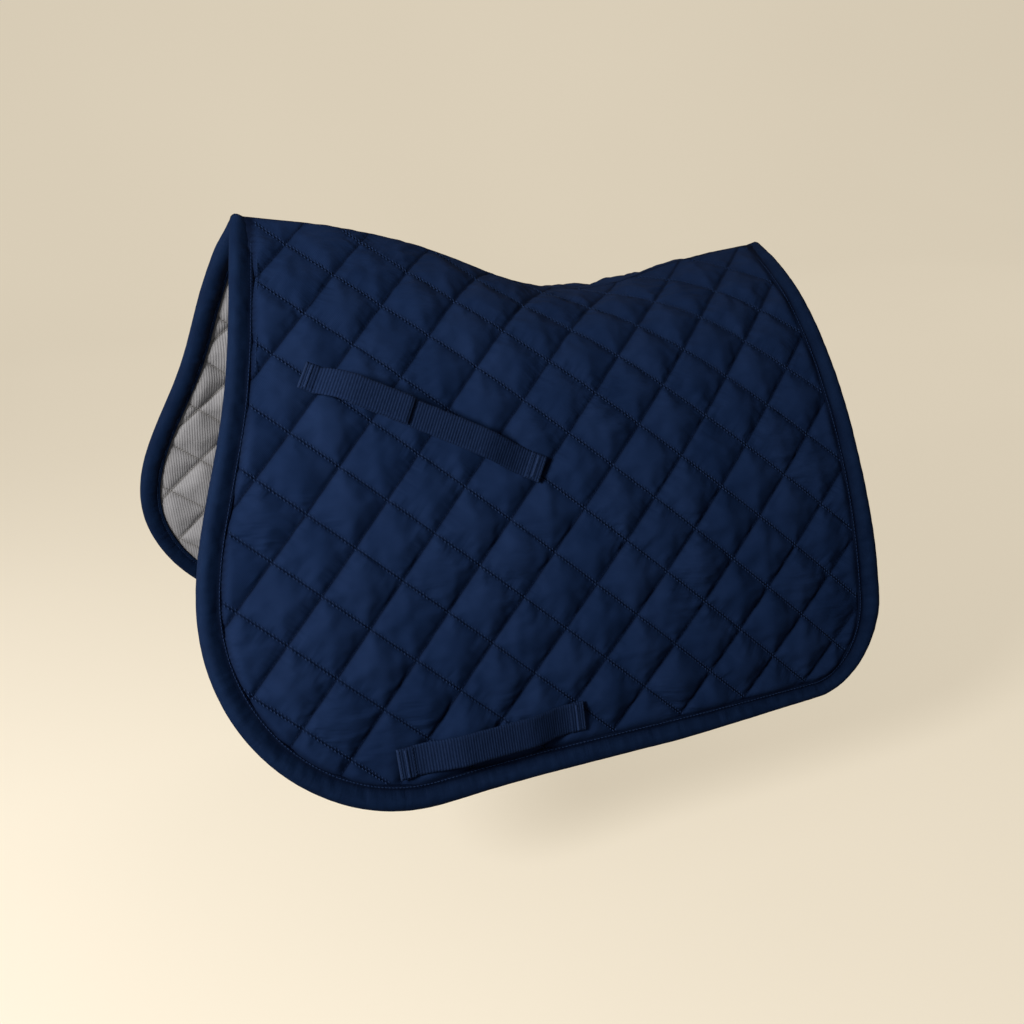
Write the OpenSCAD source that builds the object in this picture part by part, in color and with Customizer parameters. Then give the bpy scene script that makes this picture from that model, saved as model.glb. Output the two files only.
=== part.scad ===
// Quilted English saddle pad, draped as it hangs on a horse.
// +X runs along the spine towards the rear, -Y is the near side, +Z is up.
// The origin is under the spine seam at the lowest point of the seat, where the pad
// lies on the horse's back.
// Millimetres.

/* [Cloth outline] */
// cloth length from the lowest point of the spine down to the hem
hem_w = 505; // [420:5:600]
// X of the withers corner, where the front edge meets the spine
withers_x = -336; // [-380:2:-280]
// X of the foremost point of the forward flap
flap_x = -433; // [-480:1:-380]
// radius of the rounded front lower corner
flap_r = 180; // [100:5:220]
// X of the rear edge
rear_x0 = 216; // [160:2:280]
// width and height of the rounded rear lower corner
rear_corner = [76, 100]; // [40:2:140]

/* [Spine and drape] */
// extra cloth that the withers rise above the seat takes
withers_rise = 44; // [10:1:80]
// extra cloth that the cantle rise above the seat takes
cantle_rise = 12.5; // [0:0.5:40]
// cloth length from the seat down to the level thread
level_w = 264; // [200:2:300]
// height of the level thread under the origin
level_drop = 153; // [110:1:190]
// lean of the panels from the vertical: at the hem, and its change along X
lean_low = [-9.2, -12.7, 1.9]; // [-30:0.1:30]
// extra lean towards the spine, and its change along X
lean_top = [64.7, 27.2, -0.8]; // [-30:0.1:100]
// half length and half width of the flat crown at the seat
crown = [164, 90]; // [40:2:240]

/* [Layers] */
// thickness of the outer cotton and of the lining
skin_t = 1.2; // [0.6:0.1:2]
// thickness of the wadding
wadding_t = 7.6; // [4:0.2:14]
// half of the gap between the two halves at the seam
seam_gap = 0.2; // [0.1:0.05:1]

/* [Binding] */
// width of the rolled binding
bind_w = 20; // [12:1:30]
// how far the padded layers stop short of the outer edge
bind_inset = 9; // [5:0.5:15]
// how far the binding stands proud of each face
bind_proud = 1.8; // [0.8:0.1:4]

/* [Billet strap] */
// front and rear end of the strap on the cloth, as X and cloth height
billet_a = [-310, 116]; // [-400:1:300]
// rear sewn end of the strap
billet_b = [-116, 231]; // [-400:1:300]
// webbing width and thickness
billet_web = [25, 1.8]; // [1:0.1:40]
// length of the sewn foot of the tab
foot_l = 14; // [8:1:24]
// where the tab ends, measured along the strap
tab_end = 97; // [70:1:120]
// where the base strap starts under the tab
base_start = 44; // [30:1:80]
// how far the webbing stands off the cotton between its sewn ends
billet_gap = 12; // [5:0.5:16]
// thickness of each hook or loop patch
patch_t = 0.8; // [0.4:0.1:2]

/* [Girth loop] */
// front sewn end of the loop on the cloth
girth_a = [-292, 461]; // [-400:1:500]
// rear sewn end of the loop on the cloth
girth_b = [-112, 459]; // [-400:1:500]
// webbing width and thickness
girth_web = [28, 1.8]; // [1:0.1:40]
// length of each sewn end
girth_sewn = 16; // [8:1:30]
// how far the loop stands off the cotton
girth_gap = 12; // [5:0.5:16]

/* [Colours] */
// navy cotton of the outer face
navy = [0.035, 0.05, 0.11];
// grey of the lining
lining_grey = [0.55, 0.54, 0.53];
// near black of webbing and binding
web_navy = [0.03, 0.04, 0.085];

/* [Hidden] */
columns = 26;
rows = 22;
bind_steps = 16;
total_t = 2 * skin_t + wadding_t;
mid_n = -total_t / 2;
front_waist = [150, -384];
flap_w = hem_w - flap_r;

// ---- small helpers ----

// smooth step from 0 to 1
function ease(t) = let (c = min(max(t, 0), 1)) c * c * (3 - 2 * c);
function lerp(a, b, t) = a + (b - a) * t;
function quad(k, e) = k[0] + k[1] * e + k[2] * e * e;
function unit(v) = v / norm(v);
// sum of a list of numbers
function total(v, i = 0) = i >= len(v) ? 0 : v[i] + total(v, i + 1);
// cubic between two values with given slopes over a run of length l
function cubic(a, b, ma, mb, l, t) =
  a * (1 + 2 * t) * (1 - t) * (1 - t) + ma * l * t * (1 - t) * (1 - t)
  + b * t * t * (3 - 2 * t) + mb * l * t * t * (t - 1);

// ---- the draped cloth: X along the spine, w down the cloth from the seat ----

function spine_w(x) = -withers_rise * ease((-40 - x) / 310)
  - cantle_rise * ease((x + 40) / 250);

// angle of the cloth from the vertical, in degrees
function lean(x, w) =
  let (
    e = (x + 80) / 250,
    open = quad(lean_low, e) + quad(lean_top, e) * exp(-(w + 26) / 400),
    k = exp(-pow(x / crown[0], 2) - pow((w - spine_w(x)) / crown[1], 2))
  ) lerp(open, 86, k);

function run_y(x, w, n = 14) =
  let (s = spine_w(x), h = (w - s) / n)
  -h * total([for (i = [0 : n - 1]) sin(lean(x, s + (i + 0.5) * h))]);

function drop_z(x, w, n = 14) =
  let (h = (w - level_w) / n)
  -level_drop - h * total([for (i = [0 : n - 1]) cos(lean(x, level_w + (i + 0.5) * h))]);

function cloth(x, w) = [x, run_y(x, w), drop_z(x, w)];

function cloth_normal(x, w) =
  let (a = lean(x, w), across = cloth(x + 2, w) - cloth(x - 2, w))
  unit(cross([0, -sin(a), -cos(a)], across));

// point at height n above the outer face
function over(x, w, n) = n == 0 ? cloth(x, w) : cloth(x, w) + n * cloth_normal(x, w);

// ---- outline of one half ----

function front_x(w) =
  w > flap_w
  ? flap_x + flap_r - sqrt(max(0, pow(flap_r, 2) - pow(w - flap_w, 2)))
  : w > front_waist[0]
    ? cubic(front_waist[1], flap_x, -0.34, 0, flap_w - front_waist[0],
        (w - front_waist[0]) / (flap_w - front_waist[0]))
    : cubic(withers_x, front_waist[1], -0.25, -0.34, front_waist[0] + withers_rise,
        (w + withers_rise) / (front_waist[0] + withers_rise));

function rear_x(w) =
  let (c = hem_w - rear_corner[1])
  w > c
  ? rear_x0 - rear_corner[0] + rear_corner[0] * sqrt(max(0, 1 - pow((w - c) / rear_corner[1], 2)))
  : rear_x0 + 12 * pow(max(0, (240 - w) / 250), 2);

// ---- padded layers ----

// first cloth height of a layer at depth d, so that both halves meet on the middle plane
function mitre(x, d) =
  let (a = lean(x, spine_w(x)))
  spine_w(x) + d * cos(a) / sin(a) + seam_gap / sin(a);

// front and rear edges of the layers, the inset measured square to the outline
function front_in(w) = w > flap_w
  ? flap_x + flap_r - sqrt(max(0, pow(flap_r - bind_inset, 2) - pow(w - flap_w, 2)))
  : front_x(w) + bind_inset * norm([1, (front_x(w + 1) - front_x(w - 1)) / 2]);

function rear_in(w) =
  let (c = hem_w - rear_corner[1], s = min(1, max(0, w - c) / (rear_corner[1] - bind_inset)))
  w > c
  ? rear_x0 - rear_corner[0] + (rear_corner[0] - bind_inset) * sqrt(1 - s * s)
  : rear_x(w) - bind_inset;

// a point of the layer at depth d; u runs front to rear, v from spine to hem
function layer_point(u, v, d) =
  let (
    low = hem_w - bind_inset,
    wf = lerp(-withers_rise, low, v),
    wr = lerp(-cantle_rise, low, v),
    x = lerp(front_in(wf), rear_in(wr), u),
    w = lerp(mitre(x, d), low, v)
  ) over(x, w, -d);

function layer_grid(d) =
  [for (j = [0 : rows]) for (i = [0 : columns]) layer_point(i / columns, (1 - cos(180 * j / rows)) / 2, d)];

// closed solid between two depths
module layer(top, bottom) {
  c = columns + 1;
  n = c * (rows + 1);
  function q(i, j) = j * c + i;
  upper = [for (j = [0 : rows - 1]) for (i = [0 : columns - 1]) each [
    [q(i, j), q(i + 1, j), q(i, j + 1)],
    [q(i + 1, j), q(i + 1, j + 1), q(i, j + 1)]
  ]];
  lower = [for (f = upper) [n + f[0], n + f[2], n + f[1]]];
  rim = concat(
    [for (i = [0 : columns]) q(i, 0)],
    [for (j = [1 : rows]) q(columns, j)],
    [for (i = [columns - 1 : -1 : 0]) q(i, rows)],
    [for (j = [rows - 1 : -1 : 1]) q(0, j)]
  );
  m = len(rim);
  sides = [for (k = [0 : m - 1]) each [
    [rim[k], n + rim[k], n + rim[(k + 1) % m]],
    [rim[k], n + rim[(k + 1) % m], rim[(k + 1) % m]]
  ]];
  polyhedron(concat(layer_grid(top), layer_grid(bottom)), concat(upper, lower, sides), 8);
}

// ---- rolled binding ----

// the outer edge as cloth points, from the withers corner round to the cantle corner
front_run = [for (i = [0 : bind_steps])
  let (w = lerp(-withers_rise + 2, flap_w, pow(i / bind_steps, 1.5))) [front_x(w), w]];
flap_turn = [for (i = [1 : bind_steps])
  let (a = 90 * i / bind_steps) [flap_x + flap_r * (1 - cos(a)), flap_w + flap_r * sin(a)]];
hem_run = [for (i = [1 : bind_steps])
  [lerp(flap_x + flap_r, rear_x0 - rear_corner[0], i / bind_steps), hem_w]];
rear_turn = [for (i = [1 : 6])
  let (a = 90 * i / 6) [
    rear_x0 - rear_corner[0] * (1 - sin(a)), hem_w - rear_corner[1] * (1 - cos(a))]];
rear_run = [for (i = [1 : bind_steps])
  let (w = lerp(-cantle_rise + 3, hem_w - rear_corner[1], pow(1 - i / bind_steps, 1.5)))
  [rear_x(w), w]];
edge = concat(front_run, flap_turn, hem_run, rear_turn, rear_run);

// unit direction from the edge into the cloth at station i
function inward(i) =
  let (d = unit(edge[min(i + 1, len(edge) - 1)] - edge[max(i - 1, 0)])) [d[1], -d[0]];

// section of the binding as [distance from the edge, height over the middle]
bind_h = total_t / 2 + bind_proud;
bind_in = total_t / 2 + 0.45;
bind_under = bind_in + 0.35;
bind_section = [
  [0, 2.5], [0, -2.5], [4, 0.6 - bind_h], [11, -bind_h], [bind_w, 0.5 - bind_h],
  [bind_w, -bind_under], [bind_inset - 1, -bind_under],
  [bind_inset - 1, bind_in], [bind_w, bind_in],
  [bind_w, bind_h - 0.6], [11, bind_h], [4, bind_h - 0.6]
];

// a point beside the edge, kept on its own side of the middle plane
function edge_point(i, a, h) =
  let (
    e = edge[i] + a * inward(i),
    p = over(e[0], max(e[1], spine_w(e[0])), mid_n + h)
  ) [p[0], min(p[1], -seam_gap), p[2]];

// sweep of a closed section, given as rings of points
module sweep(rings) {
  m = len(rings[0]);
  last = (len(rings) - 1) * m;
  faces = [for (i = [0 : len(rings) - 2]) for (k = [0 : m - 1])
    let (a = i * m + k, b = i * m + (k + 1) % m) each [[a, b, a + m], [b, b + m, a + m]]];
  polyhedron(
    [for (r = rings) each r],
    concat(faces, [[for (k = [m - 1 : -1 : 0]) k]], [[for (k = [0 : m - 1]) last + k]]),
    8);
}

module edge_binding() {
  sweep([for (i = [0 : len(edge) - 1]) [for (s = bind_section) edge_point(i, s[0], s[1])]]);
}

// thread line just inside the binding's free edge
module binding_stitching() {
  h = bind_h + 0.35;
  sweep([for (i = [1 : len(edge) - 2])
    [for (s = [[bind_w - 2.6, h - 0.5], [bind_w - 2.6, h + 0.3],
               [bind_w - 3.4, h + 0.3], [bind_w - 3.4, h - 0.5]])
      edge_point(i, s[0], s[1])]]);
}

// ---- webbing ----

// cloth point at length l along a strap and t across it
function strap_at(a, b, l, t) =
  let (d = unit(b - a)) a + l * d + t * [-d[1], d[0]];

// ring of a flat webbing whose underside is at height n
function web_ring(a, b, l, n, web) =
  [for (s = [[-1, 0], [1, 0], [1, 1], [-1, 1]])
    let (c = strap_at(a, b, l, s[0] * web[0] / 2)) over(c[0], c[1], n + s[1] * web[1])];

billet_l = norm(billet_b - billet_a);
girth_l = norm(girth_b - girth_a);
sewn_n = 0.4;
patch_w = 21;
tab_n = billet_gap + billet_web[1] + 2 * patch_t + 0.3;

// height of each strap's underside at length l
function base_n(l) = lerp(billet_gap, sewn_n, ease((l - (billet_l - 16 - 34)) / 34));
function tab_rise(l) = lerp(sewn_n, tab_n, ease((l - foot_l) / 30));
function girth_n(l) =
  lerp(sewn_n, girth_gap, ease((l - girth_sewn) / 26) * ease((girth_l - girth_sewn - l) / 26));

module billet_base_strap() {
  sweep([for (i = [0 : 14])
    let (l = lerp(base_start, billet_l, i / 14))
    web_ring(billet_a, billet_b, l, base_n(l), billet_web)]);
}

module billet_tab_foot() {
  sweep([for (l = [0, foot_l / 2, foot_l - 0.4])
    web_ring(billet_a, billet_b, l, sewn_n, billet_web)]);
}

module billet_tab() {
  sweep([for (i = [0 : 12])
    let (l = lerp(foot_l + 0.4, tab_end, i / 12))
    web_ring(billet_a, billet_b, l, tab_rise(l) + 0.3, billet_web)]);
}

module loop_patch() {
  sweep([for (l = [48 : 9 : 93])
    web_ring(billet_a, billet_b, l, base_n(l) + billet_web[1] + 0.1, [patch_w, patch_t])]);
}

module hook_patch() {
  sweep([for (l = [48 : 9 : 93])
    web_ring(billet_a, billet_b, l, tab_n + 0.1 - patch_t, [patch_w, patch_t])]);
}

module girth_loop() {
  sweep([for (i = [0 : 20])
    let (l = lerp(0, girth_l, i / 20))
    web_ring(girth_a, girth_b, l, girth_n(l), girth_web)]);
}

// a close bar of stitches across a strap
module bartack(a, b, l, web) {
  sweep([for (k = [l - 1.5, l + 1.5])
    web_ring(a, b, k, sewn_n + web[1], [web[0] - 4, 0.7])]);
}

// ---- nodes of the near half ----

module near_outer_cotton() { color(navy) layer(0, skin_t); }
module near_wadding() { color("white") layer(skin_t, skin_t + wadding_t); }
module near_lining() { color(lining_grey) layer(skin_t + wadding_t, total_t); }
module near_edge_binding() { color(web_navy) edge_binding(); }
module near_binding_stitching() { color("slategray") binding_stitching(); }
module near_billet_base_strap() { color(web_navy) billet_base_strap(); }
module near_billet_tab_foot() { color(web_navy) billet_tab_foot(); }
module near_billet_tab() { color(web_navy) billet_tab(); }
module near_loop_patch() { color("midnightblue") loop_patch(); }
module near_hook_patch() { color("black") hook_patch(); }
module near_billet_base_bartack() {
  color("slategray") bartack(billet_a, billet_b, billet_l - 8, billet_web);
}
module near_billet_foot_bartack() {
  color("slategray") bartack(billet_a, billet_b, foot_l / 2, billet_web);
}
module near_girth_loop() { color(web_navy) girth_loop(); }
module near_girth_front_bartack() {
  color("slategray") bartack(girth_a, girth_b, 8, girth_web);
}
module near_girth_rear_bartack() {
  color("slategray") bartack(girth_a, girth_b, girth_l - 8, girth_web);
}

// thread that joins the two halves along the spine
module spine_seam_stitching() {
  x0 = withers_x + 14;
  x1 = rear_x0 - 2;
  color("slategray")
    sweep([for (i = [0 : 24])
      let (x = lerp(x0, x1, i / 24), p = cloth(x, spine_w(x)))
      [for (s = [[0.5, 0.7], [0.5, 1.5], [-0.5, 1.5], [-0.5, 0.7]]) [x, s[0], p[2] + s[1]]]]);
}

// ---- the far half is the mirror image of the near one ----

module far() { mirror([0, 1, 0]) children(); }

module far_outer_cotton() { far() near_outer_cotton(); }
module far_wadding() { far() near_wadding(); }
module far_lining() { far() near_lining(); }
module far_edge_binding() { far() near_edge_binding(); }
module far_binding_stitching() { far() near_binding_stitching(); }
module far_billet_base_strap() { far() near_billet_base_strap(); }
module far_billet_tab_foot() { far() near_billet_tab_foot(); }
module far_billet_tab() { far() near_billet_tab(); }
module far_loop_patch() { far() near_loop_patch(); }
module far_hook_patch() { far() near_hook_patch(); }
module far_billet_base_bartack() { far() near_billet_base_bartack(); }
module far_billet_foot_bartack() { far() near_billet_foot_bartack(); }
module far_girth_loop() { far() near_girth_loop(); }
module far_girth_front_bartack() { far() near_girth_front_bartack(); }
module far_girth_rear_bartack() { far() near_girth_rear_bartack(); }

near_outer_cotton();
near_wadding();
near_lining();
near_edge_binding();
near_binding_stitching();
near_billet_base_strap();
near_billet_tab_foot();
near_billet_tab();
near_loop_patch();
near_hook_patch();
near_billet_base_bartack();
near_billet_foot_bartack();
near_girth_loop();
near_girth_front_bartack();
near_girth_rear_bartack();
spine_seam_stitching();
far_outer_cotton();
far_wadding();
far_lining();
far_edge_binding();
far_binding_stitching();
far_billet_base_strap();
far_billet_tab_foot();
far_billet_tab();
far_loop_patch();
far_hook_patch();
far_billet_base_bartack();
far_billet_foot_bartack();
far_girth_loop();
far_girth_front_bartack();
far_girth_rear_bartack();
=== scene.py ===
import math

import bpy
import numpy as np
from mathutils import Matrix, Vector, kdtree


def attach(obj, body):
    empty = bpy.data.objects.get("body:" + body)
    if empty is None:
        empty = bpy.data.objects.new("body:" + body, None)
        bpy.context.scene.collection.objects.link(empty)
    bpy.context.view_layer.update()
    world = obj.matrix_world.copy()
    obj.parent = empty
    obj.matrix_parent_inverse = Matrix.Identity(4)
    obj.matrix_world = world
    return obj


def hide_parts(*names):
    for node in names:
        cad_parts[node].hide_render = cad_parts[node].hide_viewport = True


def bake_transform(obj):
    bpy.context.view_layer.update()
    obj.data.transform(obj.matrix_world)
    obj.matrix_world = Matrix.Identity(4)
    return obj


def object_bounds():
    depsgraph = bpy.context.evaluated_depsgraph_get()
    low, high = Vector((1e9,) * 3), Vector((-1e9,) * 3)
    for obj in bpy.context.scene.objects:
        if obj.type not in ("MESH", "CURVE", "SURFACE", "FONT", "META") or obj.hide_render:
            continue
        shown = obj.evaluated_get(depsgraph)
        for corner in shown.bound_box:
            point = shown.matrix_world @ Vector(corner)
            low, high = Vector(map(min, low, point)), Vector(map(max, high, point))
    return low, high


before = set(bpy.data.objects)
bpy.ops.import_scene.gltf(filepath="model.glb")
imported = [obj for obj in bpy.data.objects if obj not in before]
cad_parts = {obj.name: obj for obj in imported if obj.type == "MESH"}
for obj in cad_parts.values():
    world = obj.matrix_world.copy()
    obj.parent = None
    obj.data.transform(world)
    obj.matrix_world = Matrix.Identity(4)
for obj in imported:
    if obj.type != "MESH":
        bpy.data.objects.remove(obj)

CAD_BOX = [list(c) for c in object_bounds()]
MM = 0.001

# ------------------------------ cloth shape
# The same surface as part.scad, in millimetres: x runs rearwards, w down the
# cloth from the seat, n outwards from the outer face.
HEM_W, WITHERS_X, REAR_X0 = 505.0, -336.0, 216.0
FLAP_X, FLAP_W, FLAP_R = -433.0, 325.0, 180.0
REAR_CORNER = (76.0, 100.0)
WITHERS_RISE, CANTLE_RISE = 44.0, 12.5
LEVEL_W, LEVEL_DROP = 264.0, 153.0
LEAN_LOW, LEAN_TOP, CROWN = (-9.2, -12.7, 1.9), (64.7, 27.2, -0.8), (164.0, 90.0)
TOTAL_T, BIND_INSET = 10.0, 9.0
# quilting: square diamonds, 50 mm a side, standing on their corners
DIAMOND = 50.0
HALF_DIAMOND = DIAMOND / 2
LATTICE = DIAMOND * math.sqrt(2)
# line 0 of each direction: x + w is -LATTICE_I on one, and x - w is -LATTICE_J on the other
LATTICE_I, LATTICE_J = 166, 494
LINES_I, LINES_J = range(-4, 14), range(-7, 12)
# how far the soft quilt stands over the drawn spine or sags under it: height, x, spread
LIFTS = [(5.0, -150, 70), (-5.0, 40, 62), (-2.0, 150, 40), (2.0, 215, 22), (-1.6, -300, 35)]
LIFT_FADE = 110
# cloth this close to the outer edge is held by the binding
EDGE_HELD = 22


def ease(t):
    c = np.clip(t, 0, 1)
    return c * c * (3 - 2 * c)


def quad(k, e):
    return k[0] + k[1] * e + k[2] * e * e


def spine_w(x):
    return -WITHERS_RISE * ease((-40 - x) / 310) - CANTLE_RISE * ease((x + 40) / 250)


def lean(x, w):
    e = (x + 80) / 250
    o = quad(LEAN_LOW, e) + quad(LEAN_TOP, e) * np.exp(-(w + 26) / 400)
    k = np.exp(-(x / CROWN[0]) ** 2 - ((w - spine_w(x)) / CROWN[1]) ** 2)
    return o * (1 - k) + 86 * k


def cloth(x, w, n=40):
    x = np.asarray(x, float) + 0 * np.asarray(w, float)
    w = np.asarray(w, float) + 0 * x
    s = spine_w(x)
    i = (np.arange(n) + 0.5) / n
    h, h2 = w - s, w - LEVEL_W
    y = -h * np.sin(np.radians(lean(x[..., None], s[..., None] + i * h[..., None]))).mean(-1)
    z = -LEVEL_DROP - h2 * np.cos(
        np.radians(lean(x[..., None], LEVEL_W + i * h2[..., None]))).mean(-1)
    return np.stack([x, y, z], -1)


def normal(x, w):
    a = np.radians(lean(x, w))
    across = cloth(x + 2, w) - cloth(x - 2, w)
    n = np.cross(np.stack([0 * a, -np.sin(a), -np.cos(a)], -1), across)
    return n / np.linalg.norm(n, axis=-1, keepdims=True)


def lift(x, w):
    """The rise of LIFTS at each point, dying out down the cloth."""
    k = sum(h * np.exp(-((x - at) / spread) ** 2) for h, at, spread in LIFTS)
    return k * np.exp(-np.maximum(0, w - spine_w(x)) / LIFT_FADE)


def over(x, w, n):
    """Points n mm over the cloth, kept on the near side of the middle plane."""
    p = cloth(x, w) + normal(x, w) * np.asarray(n + 0.0 * np.asarray(x))[..., None]
    p[..., 2] += lift(x, w)
    p[..., 1] = np.minimum(p[..., 1], -0.15)
    return p


def front_x(w):
    w = np.asarray(w, float)

    def cubic(w0, w1, x0, x1, m0, m1):
        t = np.clip((w - w0) / (w1 - w0), 0, 1)
        h = w1 - w0
        return ((2 * t**3 - 3 * t**2 + 1) * x0 + (t**3 - 2 * t**2 + t) * h * m0
                + (3 * t**2 - 2 * t**3) * x1 + (t**3 - t**2) * h * m1)

    top = cubic(-44, 150, -336, -384, -0.25, -0.34)
    low = cubic(150, 325, -384, -433, -0.34, 0.0)
    turn = FLAP_X + FLAP_R - np.sqrt(np.maximum(0, FLAP_R**2 - np.maximum(0, w - FLAP_W) ** 2))
    return np.where(w > FLAP_W, turn, np.where(w > 150, low, top))


def rear_x(w):
    w = np.asarray(w, float)
    c = HEM_W - REAR_CORNER[1]
    turn = REAR_X0 - REAR_CORNER[0] + REAR_CORNER[0] * np.sqrt(
        np.maximum(0, 1 - (np.maximum(0, w - c) / REAR_CORNER[1]) ** 2))
    return np.where(w > c, turn, REAR_X0 + 12 * (np.maximum(0, 240 - w) / 250) ** 2)


def resample(p, step):
    d = np.concatenate([[0], np.cumsum(np.linalg.norm(np.diff(p, axis=0), axis=1))])
    s = np.linspace(0, d[-1], int(round(d[-1] / step)) + 1)
    return np.stack([np.interp(s, d, p[:, k]) for k in range(p.shape[1])], -1), s


def outline(step):
    """The outer edge from the withers round to the cantle, with unit directions into the cloth."""
    w = np.linspace(-WITHERS_RISE + 0.5, FLAP_W, 200)
    a = np.radians(np.linspace(0, 90, 120))
    c = HEM_W - REAR_CORNER[1]
    w2 = np.linspace(c, -CANTLE_RISE + 0.5, 200)
    p = np.concatenate([
        np.stack([front_x(w), w], -1),
        np.stack([FLAP_X + FLAP_R * (1 - np.cos(a)), FLAP_W + FLAP_R * np.sin(a)], -1)[1:],
        np.stack([REAR_X0 - REAR_CORNER[0] * (1 - np.sin(a)),
                  HEM_W - REAR_CORNER[1] * (1 - np.cos(a))], -1),
        np.stack([rear_x(w2), w2], -1)[1:]])
    p, s = resample(p, step)
    t = np.gradient(p, axis=0)
    t /= np.linalg.norm(t, axis=1, keepdims=True)
    return p, np.stack([t[:, 1], -t[:, 0]], -1), s


EDGE, EDGE_IN, _ = outline(1.0)
_tree = kdtree.KDTree(len(EDGE))
for _k, _p in enumerate(EDGE):
    _tree.insert((_p[0], _p[1], 0), _k)
_tree.balance()


def edge_distance(x, w):
    """Distance in from the outer edge in mm, and the nearest edge point's number."""
    k = np.array([_tree.find((a, b, 0))[1] for a, b in zip(x.tolist(), w.tolist())], int)
    return ((np.stack([x, w], -1) - EDGE[k]) * EDGE_IN[k]).sum(-1), k


def lattice(x, w):
    return (x + w + LATTICE_I) / LATTICE, (x - w + LATTICE_J) / LATTICE


def from_lattice(i, j):
    return ((LATTICE * (i + j) - (LATTICE_I + LATTICE_J)) / 2,
            (LATTICE * (i - j) + (LATTICE_J - LATTICE_I)) / 2)


def on_lines(x, w):
    """Whether each point lies on a line of quilting."""
    i, j = lattice(x, w)
    return (np.abs(i - np.round(i)) < 1e-6) | (np.abs(j - np.round(j)) < 1e-6)


# ------------------------------ mesh helpers
def waves(seed, n, lo, hi):
    """A smooth random field of two variables (mm), about -1 to 1, with waves lo to hi mm long."""
    r = np.random.RandomState(seed)
    a, f, p = r.rand(n) * math.tau, 1 / r.uniform(lo, hi, n), r.rand(n) * math.tau
    return lambda x, y: sum(
        np.sin(math.tau * g * (x * math.cos(b) + y * math.sin(b)) + c)
        for b, g, c in zip(a, f, p)) / math.sqrt(n)


def new_object(name, verts, faces, uv=None, attributes=None):
    """A mesh object in metres from points in mm; faces is an array of polygons or a list of them."""
    faces = [np.asarray(f, int) for f in (faces if isinstance(faces, list) else [faces])]
    loops = np.concatenate([f.ravel() for f in faces])
    size = np.concatenate([np.full(len(f), f.shape[1]) for f in faces])
    m = bpy.data.meshes.new(name)
    m.vertices.add(len(verts))
    m.vertices.foreach_set("co", (np.asarray(verts) * MM).ravel().astype(np.float32))
    m.loops.add(len(loops))
    m.loops.foreach_set("vertex_index", loops.astype(np.int32))
    m.polygons.add(len(size))
    m.polygons.foreach_set("loop_start", (np.cumsum(size) - size).astype(np.int32))
    m.polygons.foreach_set("loop_total", size.astype(np.int32))
    m.update(calc_edges=True)
    m.validate()
    m.polygons.foreach_set("use_smooth", np.full(len(m.polygons), True))
    if uv is not None:
        layer = m.uv_layers.new(name="cloth")
        index = np.empty(len(m.loops), np.int32)
        m.loops.foreach_get("vertex_index", index)
        layer.data.foreach_set("uv", (np.asarray(uv)[index] * MM).ravel().astype(np.float32))
    for key, value in (attributes or {}).items():
        m.attributes.new(key, "FLOAT", "POINT").data.foreach_set(
            "value", np.asarray(value, np.float32))
    o = bpy.data.objects.new(name, m)
    bpy.context.scene.collection.objects.link(o)
    return o


def rim_edges(faces):
    """Edges used by one face only, in that face's direction."""
    e = np.concatenate([np.stack([faces[:, k], faces[:, (k + 1) % 4]], -1) for k in range(4)])
    key = np.sort(e, axis=1)
    _, index, count = np.unique(key[:, 0] * 10**7 + key[:, 1], return_index=True,
                                return_counts=True)
    return e[index[count == 1]]


def on_rim(count, faces):
    """Whether each of count points lies on the rim of the faces."""
    rim = np.zeros(count, bool)
    rim[np.unique(rim_edges(faces))] = True
    return rim


def closed(faces, n):
    """The faces, the same faces n points further on and turned over, and a strip round the rim."""
    e = rim_edges(faces)
    rim = np.stack([e[:, 1], e[:, 0], e[:, 0] + n, e[:, 1] + n], -1)
    return [faces, faces[:, ::-1] + n, rim]


def vertex_normals(verts, faces):
    a, b, c, d = (verts[faces[:, k]] for k in range(4))
    n = np.cross(c - a, d - b)
    out = np.zeros_like(verts)
    for k in range(4):
        np.add.at(out, faces[:, k], n)
    return out / np.maximum(np.linalg.norm(out, axis=1, keepdims=True), 1e-9)


OUTWARDS = normal(np.array([-100.0]), np.array([250.0]))[0]


def facing(verts, faces, way):
    """The faces, turned over unless they look outwards (way 1) or inwards (way -1)."""
    look = vertex_normals(verts, faces)[faces[len(faces) // 2, 0]] @ OUTWARDS
    return faces[:, ::-1] if look * way < 0 else faces


def shell(name, verts, faces, thick, uv, attributes=None):
    """A closed sheet: verts is its shown face, and the back lies thick mm behind it."""
    back = verts - thick * vertex_normals(verts, faces)
    back[:, 1] = np.minimum(back[:, 1], -0.15)
    both = {k: np.concatenate([v, v]) for k, v in (attributes or {}).items()}
    return new_object(name, np.concatenate([verts, back]), closed(faces, len(verts)),
                      np.concatenate([uv, uv]), both)


def sweep(name, rings, uv, sunk, rubbed):
    """A capped tube through rings, an array of stations by ring points by 3. The last two
    arguments are lists with one array per ring point: the painted shade and the painted highlight."""
    s, m = rings.shape[:2]
    i, k = np.meshgrid(np.arange(s - 1), np.arange(m), indexing="ij")
    a, b = (i * m + k).ravel(), (i * m + (k + 1) % m).ravel()
    faces = [np.stack([a, a + m, b + m, b], -1),
             np.arange(m)[None, :], ((s - 1) * m + np.arange(m))[None, ::-1]]
    shade = {"sunk": np.stack(sunk, 1).ravel(), "rubbed": np.clip(np.stack(rubbed, 1).ravel(), 0, 1)}
    return new_object(name, rings.reshape(-1, 3), faces, uv.reshape(-1, 2), shade)


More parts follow.
